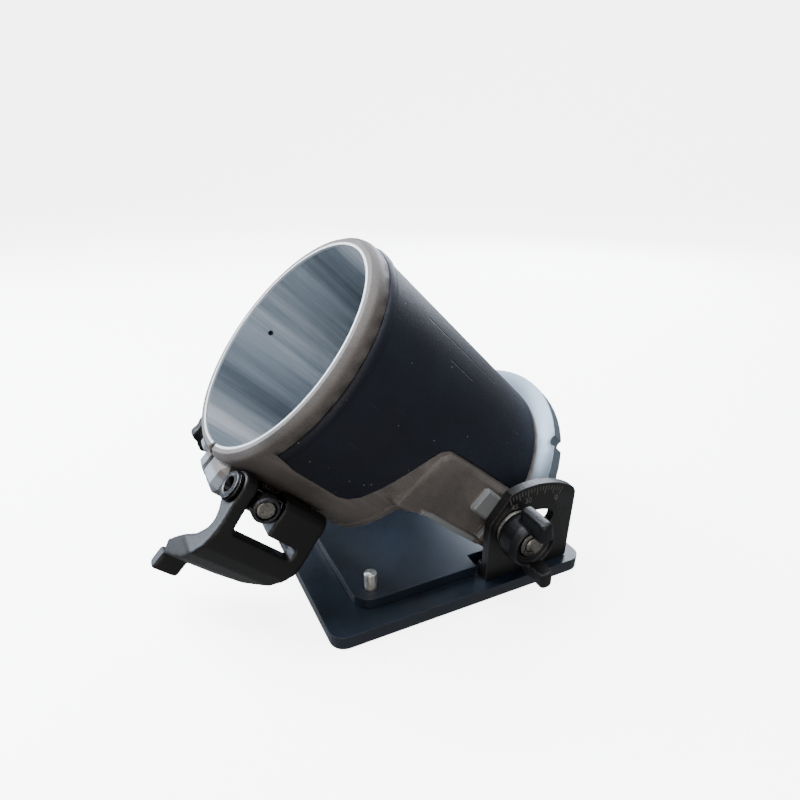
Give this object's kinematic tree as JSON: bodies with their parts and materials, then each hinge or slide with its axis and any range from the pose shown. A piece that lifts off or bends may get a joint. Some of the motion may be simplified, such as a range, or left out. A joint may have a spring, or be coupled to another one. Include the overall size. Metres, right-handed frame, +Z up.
{
  "type": "tilting router base",
  "caption": "Tilting base for a compact router: split motor collar with cam lever and rubber grip, hinged between scaled brackets on a flat sole.",
  "frame": {"origin": "centre of the sole's underside", "axes": "+Z up, +X towards the bracket end and the collar's foot, -Y the near side in the picture"},
  "size_m": [0.1345, 0.119, 0.0983],
  "materials": {
    "sole_black": "satin black paint",
    "bracket_black": "black powder coat",
    "cast_collar": "painted casting, machined bore",
    "grip_rubber": "matte moulded",
    "black_nylon": "moulded satin",
    "plated_steel": "zinc plated",
    "black_oxide": "black oxide",
    "bronze": "sintered"
  },
  "bodies": {
    "base": {"sole_plate": "sole_black", "guide_plate": "sole_black", "bracket_near": "bracket_black", "bracket_far": "bracket_black", "pivot_pin_near": "black_oxide", "pivot_pin_far": "black_oxide", "pivot_nut_near": "black_oxide", "pivot_nut_far": "black_oxide", "plate_screw_left_near": "plated_steel", "plate_screw_left_far": "plated_steel", "plate_screw_right_near": "plated_steel", "plate_screw_right_far": "plated_steel", "bracket_screw_near_1": "black_oxide", "bracket_screw_near_2": "black_oxide", "bracket_screw_far_1": "black_oxide", "bracket_screw_far_2": "black_oxide"},
    "collar": {"motor_collar": "cast_collar", "rubber_grip": "grip_rubber", "tension_bolt": "plated_steel", "lock_nut": "plated_steel", "lever_pin": "plated_steel", "pivot_bush_near": "bronze", "pivot_bush_far": "bronze", "clamp_stud_near": "plated_steel", "clamp_stud_far": "plated_steel", "clamp_washer_near": "plated_steel", "clamp_washer_far": "plated_steel"},
    "lever": {"cam_lever": "black_nylon"},
    "depth": {"depth_knob": "black_nylon", "depth_pinion": "plated_steel"},
    "wing_near": {"wing_knob_near": "black_nylon", "knob_insert_near": "plated_steel"},
    "wing_far": {"wing_knob_far": "black_nylon", "knob_insert_far": "plated_steel"}
  },
  "joints": [
    {"name": "tilt", "type": "hinge", "parent": "base", "child": "collar", "pos_m": [0.0225, 0, 0.0095], "axis": [0, 1, 0], "range_deg": [0, 45]},
    {"name": "clamp_lever", "type": "hinge", "parent": "collar", "child": "lever", "pos_m": [-0.04863, -0.0227, 0.0358], "axis": [-0.7071, 0, 0.7071], "range_deg": [-42, 75]},
    {"name": "depth_turn", "type": "hinge", "parent": "collar", "child": "depth", "pos_m": [-0.05705, 0.012, 0.04083], "axis": [0, 1, 0], "continuous": true},
    {"name": "wing_near_turn", "type": "hinge", "parent": "collar", "child": "wing_near", "pos_m": [0.01652, -0.049, 0.02205], "axis": [0, -1, 0], "continuous": true},
    {"name": "wing_far_turn", "type": "hinge", "parent": "collar", "child": "wing_far", "pos_m": [0.01652, 0.049, 0.02205], "axis": [0, 1, 0], "continuous": true}
  ]
}
